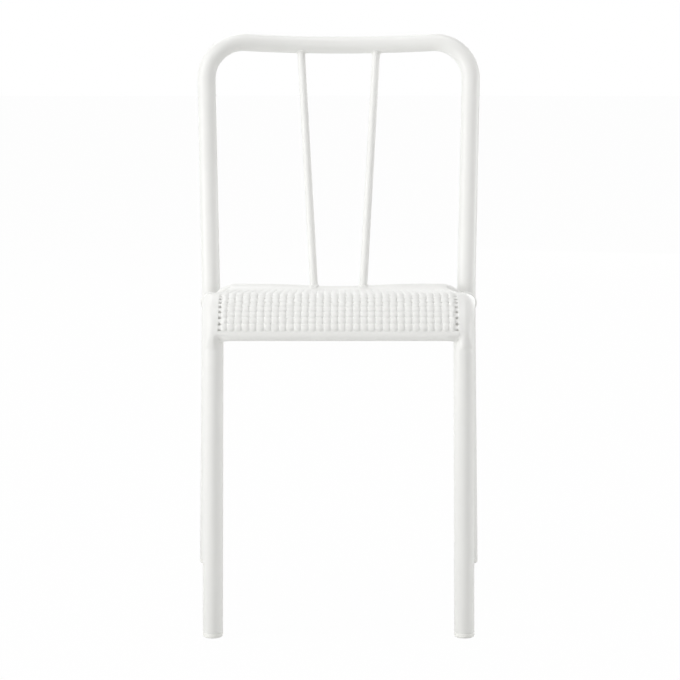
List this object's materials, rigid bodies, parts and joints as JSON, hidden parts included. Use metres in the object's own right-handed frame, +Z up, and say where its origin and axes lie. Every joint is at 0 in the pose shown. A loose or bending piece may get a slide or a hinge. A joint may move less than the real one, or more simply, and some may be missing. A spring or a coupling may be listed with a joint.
{
  "type": "dining chair",
  "caption": "Dining chair of bent steel tube with a rounded top rail, slim back rods and a woven metal seat with a waterfall front.",
  "frame": {"origin": "on the floor, under the middle of the chair's bounding box", "axes": "+Z up, -Y towards the front of the seat, +X to the right as seen from the front"},
  "size_m": [0.4388, 0.519, 0.8285],
  "materials": {
    "powder_coat": "satin white powder coat",
    "woven_seat": "satin white powder coat on woven flat metal strands",
    "foot_plastic": "pale grey moulded plastic"
  },
  "bodies": {
    "root": {"rear_frame": "powder_coat", "side_frame_left": "powder_coat", "side_frame_right": "powder_coat", "front_rail": "powder_coat", "rear_rail": "powder_coat", "seat_crossbar": "powder_coat", "spindle_left": "powder_coat", "spindle_right": "powder_coat", "seat_mat": "woven_seat", "foot_plug_front_left": "foot_plastic", "foot_plug_front_right": "foot_plastic", "foot_plug_rear_left": "foot_plastic", "foot_plug_rear_right": "foot_plastic"}
  },
  "joints": []
}
